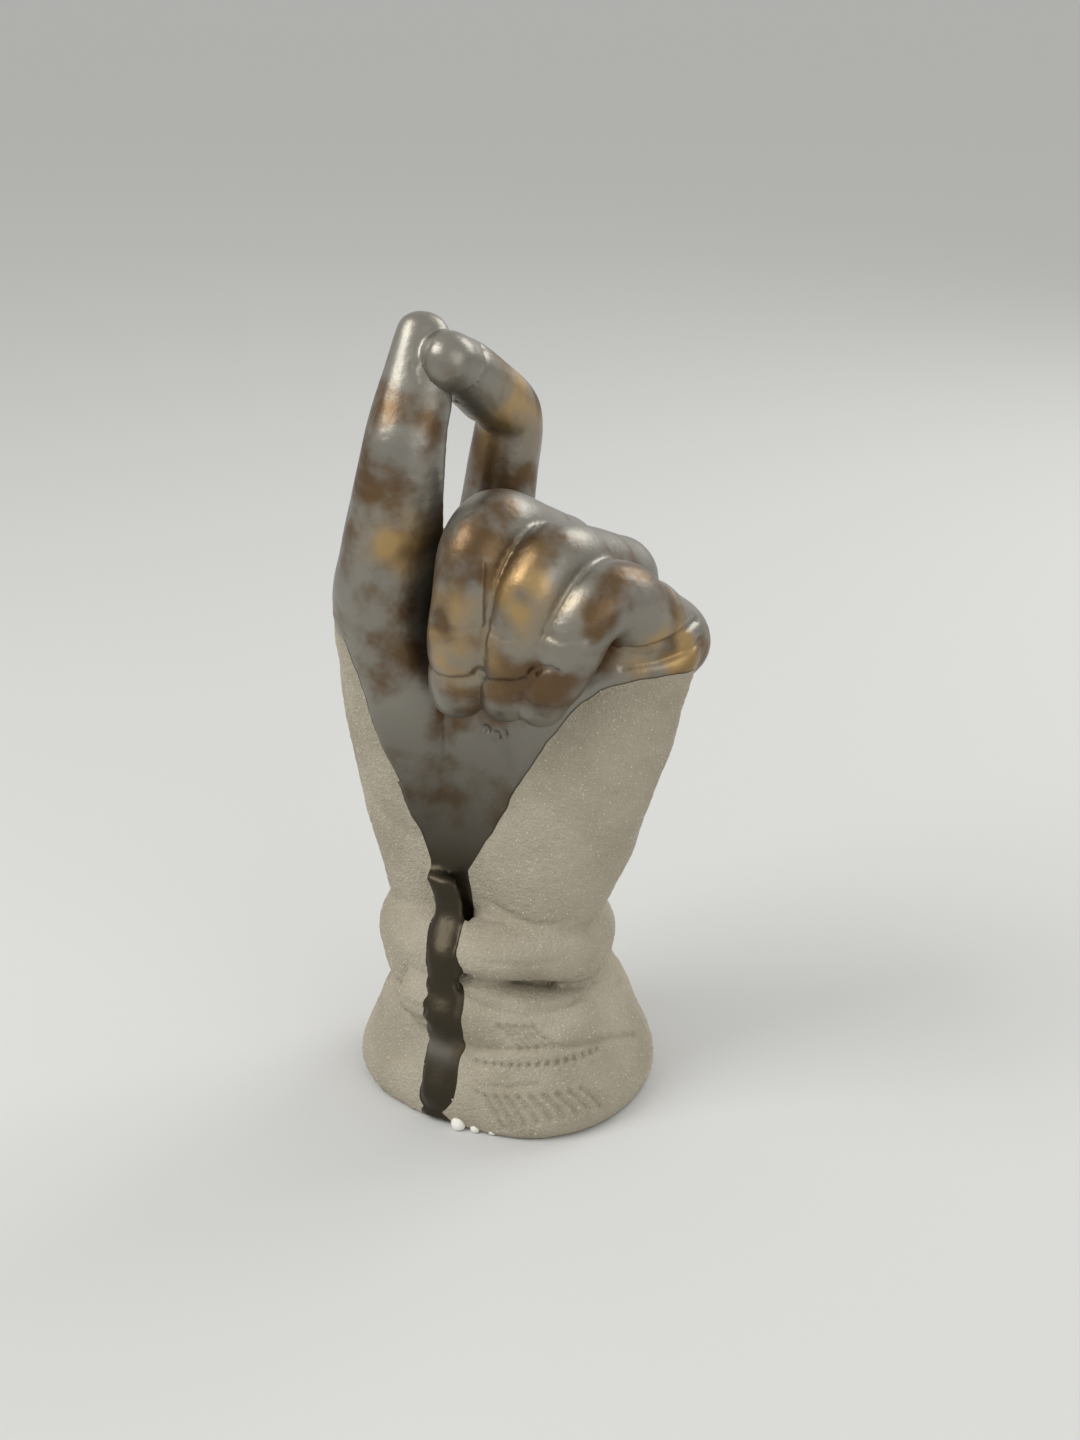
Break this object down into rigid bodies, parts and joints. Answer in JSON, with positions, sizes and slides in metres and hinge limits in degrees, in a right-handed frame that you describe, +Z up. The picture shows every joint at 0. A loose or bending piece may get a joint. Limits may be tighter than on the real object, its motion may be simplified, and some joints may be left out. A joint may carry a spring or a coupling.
{
  "type": "ceramic hand sculpture",
  "caption": "Standing ceramic hand with a thumb and forefinger pinch, folded fingers, wrapped wrist and spreading foot, part glazed in metallic bronze over raw clay.",
  "frame": {"origin": "middle of the foot's underside, on the table plane", "axes": "+Z up from the table through the wrist to the fingertips, the palm faces -Y and the little finger is on the +X side"},
  "size_m": [0.0937, 0.0727, 0.196],
  "materials": {
    "raw_clay": "unglazed, sandy, with fine pale grains",
    "bronze_glaze": "satin metallic bronze glaze",
    "kiln_grit": "white kiln grit, matt"
  },
  "bodies": {
    "root": {"palm": "raw_clay", "index_finger": "bronze_glaze", "thumb": "bronze_glaze", "middle_finger": "bronze_glaze", "ring_finger": "bronze_glaze", "little_finger": "bronze_glaze", "upper_wrap": "raw_clay", "lower_wrap": "raw_clay", "foot": "raw_clay", "palm_glaze": "bronze_glaze", "back_glaze": "bronze_glaze", "glaze_run": "bronze_glaze", "kiln_grit": "kiln_grit"}
  },
  "joints": []
}
